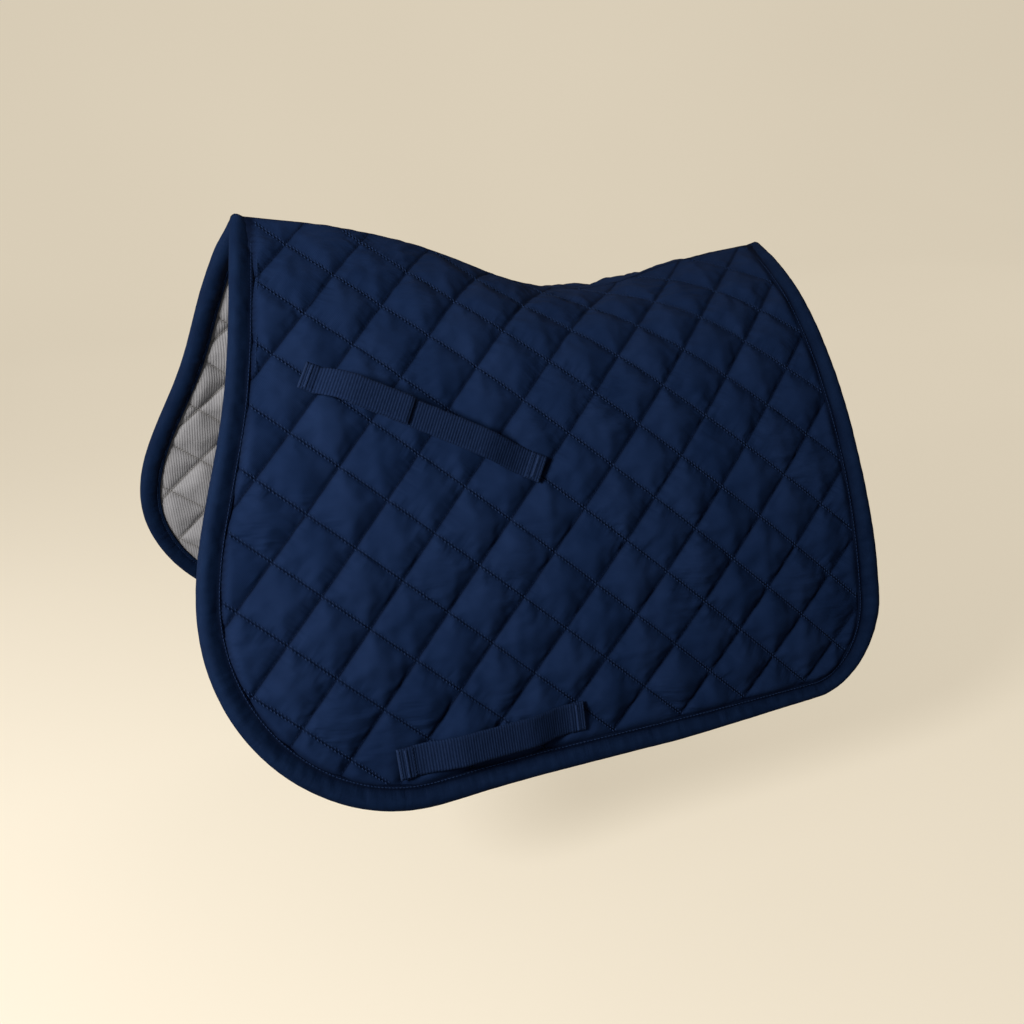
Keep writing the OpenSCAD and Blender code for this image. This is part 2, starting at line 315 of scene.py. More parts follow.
def stitches(name, p, q, up, radius, rise=0.25, sink=0.45):
    """Short rounded threads from p to q, pulled into the cloth at their ends."""
    t = (q - p) / np.linalg.norm(q - p, axis=1, keepdims=True)
    side = np.cross(up, t)
    side /= np.linalg.norm(side, axis=1, keepdims=True)
    radius = np.broadcast_to(radius, len(p))[:, None]
    rings = []
    for share, r, h in ((0.0, 0.45, -sink), (0.22, 0.9, rise * 0.8),
                        (0.78, 0.9, rise * 0.8), (1.0, 0.45, -sink)):
        c = p + share * (q - p) + up * h
        for a in range(4):
            ang = math.tau * (a + 0.5) / 4
            rings.append(c + r * radius * (math.cos(ang) * side + math.sin(ang) * up))
    v = np.stack(rings, 1).reshape(-1, 3)
    base = np.arange(len(p))[:, None] * 16
    f = []
    for s in range(3):
        for a in range(4):
            b = (a + 1) % 4
            f.append(base + np.array([s * 4 + a, s * 4 + b, s * 4 + 4 + b, s * 4 + 4 + a]))
    f.append(base + np.array([3, 2, 1, 0]))
    f.append(base + np.array([12, 13, 14, 15]))
    return new_object(name, v, np.concatenate(f))


def mirrored(obj, name):
    """The far half's twin of a near piece."""
    m = obj.data.copy()
    m.name = name
    m.transform(Matrix.Scale(-1, 4, (0, 1, 0)))
    m.flip_normals()
    co = np.empty(len(m.vertices) * 3, np.float32)
    m.vertices.foreach_get("co", co)
    co = co.reshape(-1, 3)
    # the far flap swings a few millimetres forward and out of true with the near one
    z = co[:, 2]
    k = 0.0090 * np.exp(-((z + 0.16) / 0.12) ** 2)
    k = k + 0.0055 * np.exp(-((z - 0.03) / 0.07) ** 2) * ease((0.103 - z) / 0.03)
    k = k * ease((-0.20 - co[:, 0]) / 0.14)
    co[:, 0] -= k
    co[:, 1] += 0.5 * k
    m.vertices.foreach_set("co", co.ravel())
    o = bpy.data.objects.new(name, m)
    bpy.context.scene.collection.objects.link(o)
    return o


# ------------------------------ quilt grid
def first_w(x, depth):
    a = np.radians(lean(x, spine_w(x)))
    return spine_w(x) + depth * np.cos(a) / np.sin(a) + 0.2 / np.sin(a)


def quilt_grid(steps, inset, depth, tight):
    """A grid whose lines run along the quilting, closer together beside the
    stitching, cut off inset mm inside the outer edge and at the spine."""
    k = np.arange(steps) / steps
    t = k - tight * np.sin(math.tau * k) / math.tau
    ii = np.concatenate([c + t for c in LINES_I])
    jj = np.concatenate([c + t for c in LINES_J])
    i, j = np.meshgrid(ii, jj, indexing="ij")
    x, w = from_lattice(i, j)
    shape, x, w = x.shape, x.ravel(), w.ravel()
    index = np.arange(len(x)).reshape(shape)
    quads = np.stack([index[:-1, :-1], index[1:, :-1], index[1:, 1:], index[:-1, 1:]],
                     -1).reshape(-1, 4)
    near = (x > -450) & (x < 240) & (w > -60) & (w < 520)
    de = np.full(len(x), -99.0)
    de[near] = edge_distance(x[near], w[near])[0]
    inside = near & (de > inset + 0.3) & (w > first_w(x, depth) + 0.3)
    quads = quads[inside[quads].any(1)]
    used = np.unique(quads)
    remap = np.full(len(x), -1)
    remap[used] = np.arange(len(used))
    quads, x, w = remap[quads], x[used], w[used]
    for _ in range(3):
        d, k = edge_distance(x, w)
        push = np.maximum(0, inset - d)[:, None] * EDGE_IN[k]
        x, w = x + push[:, 0], w + push[:, 1]
        w = np.maximum(w, first_w(x, depth))
    return x, w, edge_distance(x, w)[0], quads


BILLET_A, BILLET_B = np.array([-310.0, 116.0]), np.array([-116.0, 231.0])
GIRTH_A, GIRTH_B = np.array([-292.0, 461.0]), np.array([-112.0, 459.0])
FEET = [BILLET_A + 6, BILLET_B - 6, GIRTH_A + (7, 0), GIRTH_B - (7, 0)]
CELL = np.random.RandomState(7).rand(64, 64, 3)
swell = waves(11, 9, 60, 190)
ripple = waves(12, 24, 9, 26)


def relief(x, w, de, crest, deep_i, deep_j, sharp):
    """How far the quilted face stands out at each point: a pillow in each diamond, sunk along the
    stitching, and flat beside the binding and the spine seam."""
    i, j = lattice(x, w)
    di, dj = np.abs(i - np.round(i)) * DIAMOND, np.abs(j - np.round(j)) * DIAMOND
    a, b = np.floor(i).astype(int) % 64, np.floor(j).astype(int) % 64
    c = CELL[a, b]
    gi = deep_i * (1 - np.minimum(di / HALF_DIAMOND, 1)) ** sharp
    gj = deep_j * (1 - np.minimum(dj / HALF_DIAMOND, 1)) ** sharp
    gi = gi + 0.10 * deep_i * np.exp(-(di / 1.7) ** 2)
    gj = gj + 0.08 * deep_j * np.exp(-(dj / 1.5) ** 2)
    n = crest - (gi**4 + gj**4) ** (1 / 4)
    plump = np.clip(di / HALF_DIAMOND, 0, 1) * np.clip(dj / HALF_DIAMOND, 0, 1)
    n = n + plump * (0.9 * (c[..., 0] - 0.5)
                     + 1.1 * (c[..., 1] - 0.5) * ((i % 1) - 0.5)
                     + 1.1 * (c[..., 2] - 0.5) * ((j % 1) - 0.5)) * 2
    n = n + 0.22 * ripple(x, w) * np.sqrt(plump) + 0.35 * swell(x, w)
    e = ease((de - 17.5) / 10)
    n = n * e + (-3.2) * (1 - e)
    s = np.maximum(0, w - spine_w(x))
    e = ease(s / 11) * (0.3 + 0.7 * ease(s / 60))
    return n * e + 0.3 * (1 - e) - 1.5 * np.exp(-(s / 1.9) ** 2)


slow_i, slow_j, slow_f = (waves(seed, 7, 55, 150) for seed in (71, 72, 73))
held_in = waves(61, 8, 70, 200)
creased = waves(62, 8, 60, 170)


def gathers(x, w, de):
    """How strongly the stitching gathers the cloth beside it, for lines of whole i and whole j,
    and how much the cloth is creased along the pad, all stronger in some places than others."""
    inner = ease((de - 18) / 6)
    g = np.clip(0.55 + 0.6 * held_in(x, w), 0.05, 1) * inner
    by_i, by_j = (g * np.exp(-np.abs(v - np.round(v)) * DIAMOND / 10) for v in lattice(x, w))
    return by_i, by_j, np.clip(0.9 * creased(x, w) - 0.1, 0, 1) * inner


def puckers(x, w, de):
    """Small folds square to each line of stitches, none on the line itself."""
    by_i, by_j, crease = gathers(x, w, de)
    u, v = (x + w) / math.sqrt(2), (x - w) / math.sqrt(2)
    i, j = lattice(x, w)
    off_i, off_j = (1 - np.exp(-(np.abs(k - np.round(k)) * DIAMOND / 3.0) ** 2) for k in (i, j))
    n = by_j * np.sin(math.tau * u / 10.5 + 4 * slow_j(x, w))
    n = n + 0.8 * by_i * np.sin(math.tau * v / 11.0 + 4 * slow_i(x, w))
    n = n + 0.9 * crease * np.sin(math.tau * (w + 0.15 * x) / 12.0 + 4 * slow_f(x, w))
    return 0.42 * n * off_i * off_j


def outer_n(x, w, de):
    # the lines of chain stitch are pulled less deep than the plain ones, at the front most of all
    soft = 4.5 + 1.2 * ease((x + 150) / 200)
    n = relief(x, w, de, 1.5, 6.1, soft, 2.35)
    # pressed down under the sewn ends of the straps
    for a, b in FEET:
        n = n - 1.5 * np.exp(-((x - a) ** 2 + (w - b) ** 2) / 15.0**2)
    return np.maximum(n + puckers(x, w, de), -4.9)


def lining_n(x, w, de):
    return np.minimum(-TOTAL_T - relief(x, w, de, 0.9, 3.2, 3.0, 2.6), -7.0)


# how strong the painted shade is beside each line of whole i and of whole j
def groove(x, w):
    i, j = lattice(x, w)
    di, dj = np.abs(i - np.round(i)) * DIAMOND, np.abs(j - np.round(j)) * DIAMOND
    return np.exp(-(di / 1.4) ** 1.3), 0.85 * np.exp(-(dj / 1.6) ** 1.3)


def inflate(verts, faces, pinned, cap, pressure, frames=20):
    """Cloth simulation of the stuffed quilt: the stitching is held, the pressure of the wadding
    and a little spare cloth do the rest. Returns the new points in mm, none of them moved more
    than about cap mm."""
    o = new_object("sim", verts, faces)
    g = o.vertex_groups.new(name="pin")
    g.add(np.flatnonzero(pinned).tolist(), 1.0, "REPLACE")
    mod = o.modifiers.new("cloth", "CLOTH")
    s = mod.settings
    s.quality, s.mass, s.air_damping = 6, 0.25, 1.2
    s.tension_stiffness = s.compression_stiffness = 14
    s.shear_stiffness, s.bending_stiffness = 5, 0.12
    s.vertex_group_mass, s.pin_stiffness = "pin", 1.0
    s.use_pressure, s.uniform_pressure_force = True, pressure
    s.shrink_min = s.shrink_max = -0.035
    s.effector_weights.gravity = 0
    mod.collision_settings.use_collision = False
    mod.collision_settings.use_self_collision = False
    mod.point_cache.frame_start, mod.point_cache.frame_end = 1, frames
    for f in range(1, frames + 1):
        bpy.context.scene.frame_set(f)
    e = o.evaluated_get(bpy.context.evaluated_depsgraph_get())
    out = np.empty(len(verts) * 3, np.float32)
    e.data.vertices.foreach_get("co", out)
    out = out.reshape(-1, 3).astype(float) / MM
    bpy.context.scene.frame_set(1)
    bpy.data.objects.remove(o)
    move = out - verts
    # the wadding stops the cloth from falling in
    up = vertex_normals(verts, faces)
    into = (move * up).sum(1)
    move += (np.maximum(into, -0.5) - into)[:, None] * up
    far = np.linalg.norm(move, axis=1, keepdims=True)
    move *= np.minimum(1, cap / np.maximum(far, 1e-6))
    move[pinned] = 0
    # a light smoothing of the movement, so that no single point stands out
    for _ in range(2):
        total, count = np.zeros_like(move), np.zeros(len(move))
        for k in range(4):
            np.add.at(total, faces[:, k], move[faces[:, (k + 1) % 4]] + move[faces[:, k - 1]])
            np.add.at(count, faces[:, k], 2)
        mean = total / np.maximum(count, 1)[:, None]
        move = np.where(pinned[:, None], 0, 0.5 * move + 0.5 * mean)
    return verts + move


# ------------------------------ materials
class Mat:
    """A short way to write a node material."""

    def __init__(self, name, color, rough=0.8):
        self.m = bpy.data.materials.new(name)
        self.m.use_nodes = True
        self.nt = self.m.node_tree
        self.bsdf = self.nt.nodes["Principled BSDF"]
        self.bsdf.inputs["Roughness"].default_value = rough
        self.bsdf.inputs["Specular IOR Level"].default_value = 0.028
        self.bsdf.inputs["Base Color"].default_value = (*color, 1)
        self.coord = self.nt.nodes.new("ShaderNodeTexCoord")

    def node(self, kind, **values):
        n = self.nt.nodes.new(kind)
        for k, v in values.items():
            if k in n.inputs:
                n.inputs[k].default_value = v
            else:
                setattr(n, k, v)
        return n

    def link(self, a, b):
        self.nt.links.new(a, b)

    def uv(self, sx=1.0, sy=1.0, angle=0.0):
        m = self.node("ShaderNodeMapping")
        m.inputs["Scale"].default_value = (sx, sy, 1)
        m.inputs["Rotation"].default_value = (0, 0, angle)
        self.link(self.coord.outputs["UV"], m.inputs["Vector"])
        return m.outputs[0]

    def grain(self, sx, sy, angle):
        """The cloth's coordinates turned by an angle and then squeezed."""
        m = self.node("ShaderNodeMapping", vector_type="TEXTURE")
        m.inputs["Scale"].default_value = (1 / sx, 1 / sy, 1)
        m.inputs["Rotation"].default_value = (0, 0, angle)
        self.link(self.coord.outputs["UV"], m.inputs["Vector"])
        return m.outputs[0]

    def noise(self, scale, vector=None, detail=3.0, rough=0.55):
        n = self.node("ShaderNodeTexNoise")
        n.inputs["Scale"].default_value = scale
        n.inputs["Detail"].default_value = detail
        n.inputs["Roughness"].default_value = rough
        self.link(vector or self.coord.outputs["UV"], n.inputs["Vector"])
        return n.outputs["Fac"]

    def bands(self, period, vector, direction="X", distortion=0.0):
        """Waves of a period in the vector's own unit."""
        n = self.node("ShaderNodeTexWave", wave_type="BANDS", bands_direction=direction)
        n.inputs["Scale"].default_value = math.tau / (20 * period)
        n.inputs["Distortion"].default_value = distortion
        self.link(vector, n.inputs["Vector"])
        return n.outputs["Fac"]

    def math(self, op, a, b=None, clamp=False):
        n = self.node("ShaderNodeMath", operation=op, use_clamp=clamp)
        for k, v in enumerate((a, b)):
            if v is None:
                continue
            if isinstance(v, (int, float)):
                n.inputs[k].default_value = v
            else:
                self.link(v, n.inputs[k])
        return n.outputs[0]

    def attr(self, name):
        return self.node("ShaderNodeAttribute", attribute_name=name).outputs["Fac"]

    def ramp(self, fac, stops):
        n = self.node("ShaderNodeValToRGB")
        while len(n.color_ramp.elements) < len(stops):
            n.color_ramp.elements.new(0.5)
        for e, (p, c) in zip(n.color_ramp.elements, stops):
            e.position, e.color = p, (*c, 1)
        self.link(fac, n.inputs["Fac"])
        return n.outputs["Color"]

    def mix(self, fac, a, b, blend="MIX"):
        n = self.node("ShaderNodeMix", data_type="RGBA", blend_type=blend)
        for sock, v in ((n.inputs[0], fac), (n.inputs[6], a), (n.inputs[7], b)):
            if isinstance(v, (int, float)):
                sock.default_value = v
            elif isinstance(v, tuple):
                sock.default_value = (*v, 1)
            else:
                self.link(v, sock)
        return n.outputs[2]

    def bump(self, height, distance, strength=1.0, after=None):
        n = self.node("ShaderNodeBump")
        n.inputs["Distance"].default_value = distance
        n.inputs["Strength"].default_value = strength
        self.link(height, n.inputs["Height"])
        if after:
            self.link(after, n.inputs["Normal"])
        return n.outputs["Normal"]

    def sheen(self, weight, rough, tint=(1, 1, 1)):
        self.bsdf.inputs["Sheen Weight"].default_value = weight
        self.bsdf.inputs["Sheen Roughness"].default_value = rough
        self.bsdf.inputs["Sheen Tint"].default_value = (*tint, 1)

    def end(self, color=None, rough=None, normal=None):
        for sock, v in (("Base Color", color), ("Roughness", rough), ("Normal", normal)):
            if v is not None:
                self.link(v, self.bsdf.inputs[sock])
        return self.m


NAVY = (0.0050, 0.0150, 0.050)
NAVY_LIGHT = (0.0078, 0.0200, 0.062)
NAVY_DARK = (0.0009, 0.0028, 0.0110)


def quilt_cotton():
    """Navy cotton twill: fine diagonal weave and cloudy dye, with painted shade in the creases and a
    painted highlight on the pillow tops.
    """
    m = Mat("navy_cotton", NAVY, 0.72)
    twill = m.bands(0.0011, m.uv(angle=math.radians(38)), distortion=1.2)
    yarn = m.bands(0.0007, m.uv(angle=math.radians(90)), distortion=2.0)
    cloud, mottle = m.noise(28, detail=4), m.noise(420, detail=3)
    base = m.ramp(cloud, [(0.3, tuple(0.86 * c for c in NAVY)), (0.7, NAVY_LIGHT)])
    base = m.mix(m.math("MULTIPLY", mottle, 0.35), base, NAVY_LIGHT)
    base = m.mix(m.math("MULTIPLY", twill, 0.22), base, NAVY_DARK)
    # painted shade: the colour darkens along the stitching, beside the binding and at the spine seam
    sunk = m.attr("sunk")
    base = m.mix(m.math("MULTIPLY", sunk, 0.92, True), base, NAVY_DARK)
    # painted highlight: the pillow tops are lighter, in patches
    rubbed = m.math("MULTIPLY", m.attr("rubbed"), m.noise(160, detail=5))
    base = m.mix(m.math("MULTIPLY", rubbed, 0.5, True), base, (0.0125, 0.027, 0.076))
    rough = m.math("ADD", m.math("MULTIPLY", cloud, 0.16), 0.6)
    # puckers: fine folds square to each line of stitches, dying out over a centimetre or two
    slope = math.radians(45)
    pull_j = m.math("MULTIPLY", m.noise(105, m.grain(1, 0.16, slope), 2), m.attr("pucker_j"))
    pull_i = m.math("MULTIPLY", m.noise(105, m.grain(0.16, 1, slope), 2), m.attr("pucker_i"))
    fold = m.math("MULTIPLY", m.noise(120, m.grain(0.2, 1, math.radians(8)), 2), m.attr("crease"))
    n = m.bump(m.noise(75, detail=4), 0.0006, 0.5)
    n = m.bump(m.math("ADD", fold, m.math("ADD", pull_j, pull_i)), 0.0030, 0.9, n)
    n = m.bump(m.math("ADD", twill, m.math("MULTIPLY", yarn, 0.6)), 0.00016, 0.8, n)
    m.sheen(0.005, 0.4, (0.4, 0.55, 1.0))
    return m.end(base, rough, n)


def lining_cotton():
    """Warm light grey brushed knit with fine upright stripes."""
    m = Mat("grey_lining", (0.36, 0.34, 0.325), 0.9)
    rib = m.bands(0.0026, m.uv(), distortion=0.6)
    loop = m.bands(0.0014, m.uv(), "Y", 1.5)
    cloud = m.noise(22, detail=4)
    base = m.ramp(cloud, [(0.3, (0.335, 0.328, 0.338)), (0.7, (0.405, 0.397, 0.408))])
    base = m.mix(m.math("MULTIPLY", rib, 0.35), base, (0.235, 0.228, 0.232))
    # painted shade: darker along the stitching and beside the binding
    base = m.mix(m.math("MULTIPLY", m.attr("sunk"), 0.7, True), base, (0.15, 0.14, 0.135))
    n = m.bump(m.noise(500, detail=4), 0.0004, 0.35)
    n = m.bump(m.math("ADD", rib, m.math("MULTIPLY", loop, 0.5)), 0.00028, 0.8, n)
    m.sheen(0.08, 0.6, (1, 0.97, 0.93))
    return m.end(base, None, n)


def binding_cotton():
    """Bias-cut cotton: the weave runs at 45 degrees to the edge, with small pull marks."""
    m = Mat("navy_binding", NAVY, 0.7)
    weave = m.bands(0.0009, m.uv(angle=math.radians(45)), distortion=1.0)
    weave2 = m.bands(0.0009, m.uv(angle=math.radians(-45)), distortion=1.0)
    cloud = m.noise(40, m.uv(1, 2.2), detail=4)
    pull = m.noise(150, m.uv(1.6, 0.25), detail=3)
    # the base is a darker copy of the quilt's navy cotton: painted shade
    base = m.ramp(cloud, [(0.3, tuple(0.6 * c for c in NAVY)), (0.7, (0.0046, 0.0135, 0.042))])
    # painted shade in the crease beside the stitching and on the hidden inner fold
    base = m.mix(m.math("MULTIPLY", m.attr("sunk"), 0.9, True), base, NAVY_DARK)
    # painted highlight along the crown of the roll
    base = m.mix(m.math("MULTIPLY", m.math("MULTIPLY", m.attr("rubbed"), m.noise(210, detail=4)),
                        0.35, True), base, (0.0080, 0.020, 0.056))
    n = m.bump(pull, 0.0010, 0.55)
    n = m.bump(m.math("ADD", weave, weave2), 0.00014, 0.8, n)
    m.sheen(0.006, 0.35, (0.4, 0.55, 1.0))
    return m.end(base, m.math("ADD", m.math("MULTIPLY", cloud, 0.15), 0.55), n)


def webbing_navy():
    """Woven tape: warp threads along it, broken up by the ribs, and a slightly shiny yarn."""
    m = Mat("webbing", NAVY, 0.6)
    warp = m.bands(0.0009, m.uv(), "Y", 0.8)
    weft = m.bands(0.00058, m.uv(), "X", 1.5)
    fleck = m.noise(900, m.uv(1, 0.35), detail=3)
    base = m.ramp(fleck, [(0.32, (0.0033, 0.0105, 0.036)), (0.68, (0.0080, 0.0190, 0.058))])
    # painted shade between the ribs and under the tape
    base = m.mix(m.math("MULTIPLY", m.attr("sunk"), 0.8, True), base, NAVY_DARK)
    # painted highlight on the rib tops and at both ends
    base = m.mix(m.math("MULTIPLY", m.attr("rubbed"), 0.55, True), base, (0.024, 0.044, 0.105))
    n = m.bump(m.math("ADD", warp, m.math("MULTIPLY", weft, 0.5)), 0.00022, 0.9)
    m.sheen(0.008, 0.35, (0.5, 0.65, 1.0))
    return m.end(base, m.math("ADD", m.math("MULTIPLY", fleck, 0.25), 0.42), n)


def sewing_thread(name, color, light):
    m = Mat(name, color, 0.5)
    ply = m.node("ShaderNodeTexNoise")
    ply.inputs["Scale"].default_value, ply.inputs["Detail"].default_value = 1400, 2
    m.link(m.coord.outputs["Object"], ply.inputs["Vector"])
    base = m.ramp(ply.outputs["Fac"], [(0.35, color), (0.65, light)])
    m.sheen(0.01, 0.3)
    return m.end(base, None, m.bump(ply.outputs["Fac"], 0.0002, 0.7))


def fuzzy_tape():
    m = Mat("hook_and_loop", (0.01, 0.014, 0.03), 0.95)
    fuzz = m.node("ShaderNodeTexVoronoi")
    fuzz.inputs["Scale"].default_value = 900
    m.link(m.coord.outputs["UV"], fuzz.inputs["Vector"])
    base = m.ramp(fuzz.outputs["Distance"],
                  [(0.1, (0.02, 0.028, 0.055)), (0.7, (0.006, 0.009, 0.02))])
    m.sheen(0.02, 0.5, (0.5, 0.6, 0.8))
    return m.end(base, None, m.bump(fuzz.outputs["Distance"], 0.0006, 1.0))


def fibre_fill():
    m = Mat("wadding", (0.78, 0.77, 0.74), 0.95)
    fluff = m.noise(300, detail=6, rough=0.7)
    base = m.ramp(fluff, [(0.3, (0.66, 0.65, 0.62)), (0.7, (0.85, 0.84, 0.82))])
    m.sheen(0.4, 0.6)
    return m.end(base, None, m.bump(fluff, 0.0015, 0.8))


M_COTTON, M_LINING = quilt_cotton(), lining_cotton()
M_BIND, M_WEB = binding_cotton(), webbing_navy()
M_THREAD = sewing_thread("thread", (0.0075, 0.0185, 0.056), (0.015, 0.031, 0.082))
# a darker copy of the navy thread for the plain stitches that lie deep in the grooves: painted shade
M_THREAD_SHADED = sewing_thread("deep_thread", (0.003, 0.008, 0.027), (0.006, 0.014, 0.042))
M_THREAD_GREY = sewing_thread("lining_thread", (0.22, 0.21, 0.20), (0.36, 0.345, 0.33))
M_TACK = sewing_thread("tack_thread", (0.008, 0.019, 0.056), (0.018, 0.034, 0.086))
M_FUZZ, M_FILL = fuzzy_tape(), fibre_fill()


def place(near, nodes, mat, crosses=True, rider="near_half"):
    """Give a near piece its material, body and CAD nodes, and make its twin on the far half.
    A piece crosses the fold, or rides on one body, or is left to the caller ("tab")."""
    near.data.materials.append(mat)
    far = mirrored(near, near.name.replace("near_", "far_", 1))
    for o, side in ((near, "near"), (far, "far")):
        if nodes:
            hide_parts(*[f"{side}_{n}" for n in nodes])
        if crosses == "tab":
            continue
        if crosses:
            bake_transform(o)
        else:
            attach(o, rider.replace("near_", side + "_", 1))
    return [near, far]


# ------------------------------ quilted layers
# grid steps to a diamond's side; at 22 an outer cotton passes the 200,000 faces an export keeps
GRID, LINING_GRID, FILL_GRID = 20, 12, 6
# the simulation holds the cloth this close to the spine, and to a strap's sewn end
SPINE_HELD, FOOT_HELD = 5, 13.0
COTTON_T = 0.7

x, w, de, faces = quilt_grid(GRID, BIND_INSET, 0.0, 0.4)
n = outer_n(x, w, de)
verts = over(x, w, n)
faces = facing(verts, faces, 1)
held = on_lines(x, w) | on_rim(len(x), faces) | (de < EDGE_HELD) | (w - spine_w(x) < SPINE_HELD)
for foot_x, foot_w in FEET:
    held |= (x - foot_x) ** 2 + (w - foot_w) ** 2 < FOOT_HELD**2
verts = inflate(verts, faces, held, 3.2, 4.0)
gi, gj = groove(x, w)
i, j = lattice(x, w)
s = w - spine_w(x)
# painted shade: the colour darkens along the stitching, beside the binding and at the spine seam
by_bind = np.exp(-np.maximum(0, de - 20) / 1.8)
sunk = np.clip(np.maximum.reduce([gi, gj * 0.85, by_bind, np.exp(-s / 2.0)]), 0, 1)
# painted highlight on the pillow tops, away from the stitching
pillow = 1 - np.exp(-np.minimum(np.abs(i - np.round(i)), np.abs(j - np.round(j))) * 9)
pucker_i, pucker_j, crease = gathers(x, w, de)
near_outer = shell("near_outer_cotton_quilted", verts, faces, COTTON_T, np.stack([x, w], -1),
                   {"sunk": sunk, "rubbed": np.clip(pillow * (0.5 + 0.5 * swell(x, w)), 0, 1),
                    "pucker_i": pucker_i, "pucker_j": pucker_j, "crease": crease})
OUTER = place(near_outer, ["outer_cotton"], M_COTTON)

lx, lw, lde, lfaces = quilt_grid(LINING_GRID, BIND_INSET, TOTAL_T, 0.5)
lverts = over(lx, lw, lining_n(lx, lw, lde))
lfaces = facing(lverts, lfaces, -1)
lheld = on_lines(lx, lw) | on_rim(len(lx), lfaces) | (lde < EDGE_HELD)
lverts = inflate(lverts, lfaces, lheld, 2.2, 3.0)
lgi, lgj = groove(lx, lw)
# painted shade along the lining's stitching and beside the binding
by_bind = np.exp(-np.maximum(0, lde - 20) / 3)
near_lining = shell("near_lining_quilted", lverts, lfaces, COTTON_T, np.stack([lx, lw], -1),
                    {"sunk": np.clip(np.maximum.reduce([lgi, lgj, by_bind]), 0, 1)})
LINING = place(near_lining, ["lining"], M_LINING)

fx, fw, fde, ffaces = quilt_grid(FILL_GRID, BIND_INSET + 1.0, TOTAL_T - 1, 0.3)
# thin along the stitching, and clear of the cloth on both faces
fo, fl = outer_n(fx, fw, fde), lining_n(fx, fw, fde)
top = over(fx, fw, np.minimum(-5.75 + 0.55 * (fo + 4.9), fo - 1.6))
bottom = over(fx, fw, np.maximum(-6.15 + 0.55 * (fl + 7.0), fl + 1.6))
ffaces = facing(top, ffaces, 1)
near_fill = new_object("near_wadding_fill", np.concatenate([top, bottom]),
                       closed(ffaces, len(top)), np.concatenate([np.stack([fx, fw], -1)] * 2))
FILL = place(near_fill, ["wadding"], M_FILL)


# ------------------------------ quilting thread
def line_stitches(name, fixed, face_n, rows, length, gap, radius, offset, flip=1, slant=0.35):
    """Thread along every quilting line of one direction: fixed is 0 for the lines of whole i and
    1 for those of whole j. offset is the distance between rows, flip is -1 on the lining, and
    slant sets each stitch askew."""
    ps, qs = [], []
    rng = np.random.RandomState(31 + fixed)
    for c in LINES_I if fixed == 0 else LINES_J:
        run = np.arange(-7 * DIAMOND, 14 * DIAMOND, length + gap)
        for row in range(rows):
            lateral = (row - (rows - 1) / 2) * offset
            a0 = run + rng.uniform(-0.15, 0.15, len(run)) + row * 0.5 * (length + gap)
            a1 = a0 + length
            ends = []
            for a, side in ((a0, slant), (a1, -slant)):
                u, v = np.full(len(a), c + (lateral + side) / DIAMOND), a / DIAMOND
                ends.append(from_lattice(*((u, v) if fixed == 0 else (v, u))))
            ps.append(np.stack(ends[0], -1))
            qs.append(np.stack(ends[1], -1))
    p, q = np.concatenate(ps), np.concatenate(qs)
    ok = (p[:, 0] > -440) & (p[:, 0] < 232) & (p[:, 1] > -50) & (p[:, 1] < 510)
    p, q = p[ok], q[ok]
    d, d2 = edge_distance(p[:, 0], p[:, 1])[0], edge_distance(q[:, 0], q[:, 1])[0]
    start = 4 if flip > 0 else 10
    ok = (np.minimum(d, d2) > 20.5) & (p[:, 1] > spine_w(p[:, 0]) + start) & (
        q[:, 1] > spine_w(q[:, 0]) + start)
    p, q, d, d2 = p[ok], q[ok], d[ok], d2[ok]
    a = over(p[:, 0], p[:, 1], face_n(p[:, 0], p[:, 1], d) + flip * 0.1)
    b = over(q[:, 0], q[:, 1], face_n(q[:, 0], q[:, 1], d2) + flip * 0.1)
    return stitches(name, a, b, flip * normal(p[:, 0], p[:, 1]), radius)


QUILT_THREAD = [
    (line_stitches("near_quilting_chain_thread", 1, outer_n, 2, 2.5, 1.1, 0.6, 2.3, slant=0.5),
     M_THREAD),
    (line_stitches("near_quilting_plain_thread", 0, outer_n, 1, 2.9, 0.6, 0.34, 0, slant=0),
     M_THREAD_SHADED),
    (line_stitches("near_lining_thread_down", 0, lining_n, 1, 2.9, 0.6, 0.38, 0, -1, 0),
     M_THREAD_GREY),
    (line_stitches("near_lining_thread_up", 1, lining_n, 1, 2.9, 0.6, 0.38, 0, -1, 0),
     M_THREAD_GREY),
]
for o, mat in QUILT_THREAD:
    place(o, [], mat)

# ------------------------------ rolled binding
P, IN, S = outline(2.2)
along = waves(21, 14, 5, 14)
broad = waves(22, 6, 30, 90)
# the binding reaches this far in from the edge
BIND_REACH = 20.6
# section: distance in from the edge, height, and how much it takes part in the pulls
SECTION = [
    (20.6, -3.0, 0.1), (19.6, -2.5, 0.2), (18.4, -2.3, 0.3), (17.2, -2.6, 0.2), (15.6, -1.7, 0.8),
    (13.0, -0.2, 1.0), (10.0, 1.6, 0.8), (7.0, 2.7, 0.5), (4.2, 2.1, 0.4), (2.0, 0.2, 0.3),
    (0.6, -2.2, 0.2), (0.0, -5.0, 0.2), (0.6, -7.6, 0.2), (2.1, -9.8, 0.3), (4.4, -11.6, 0.4),
    (7.4, -12.6, 0.5), (10.4, -12.6, 0.7), (13.4, -11.7, 1.0), (15.8, -10.4, 1.0),
    (17.2, -9.2, 0.2), (18.6, -9.9, 0.5), (19.9, -9.6, 0.4), (20.6, -8.4, 0.2),
    (20.4, -8.0, 0), (9.2, -8.0, 0), (8.2, -5.0, 0), (9.2, -3.5, 0), (20.4, -3.5, 0)]
rings, uv, sunk, rubbed = [], [], [], []
round_it = 0.0
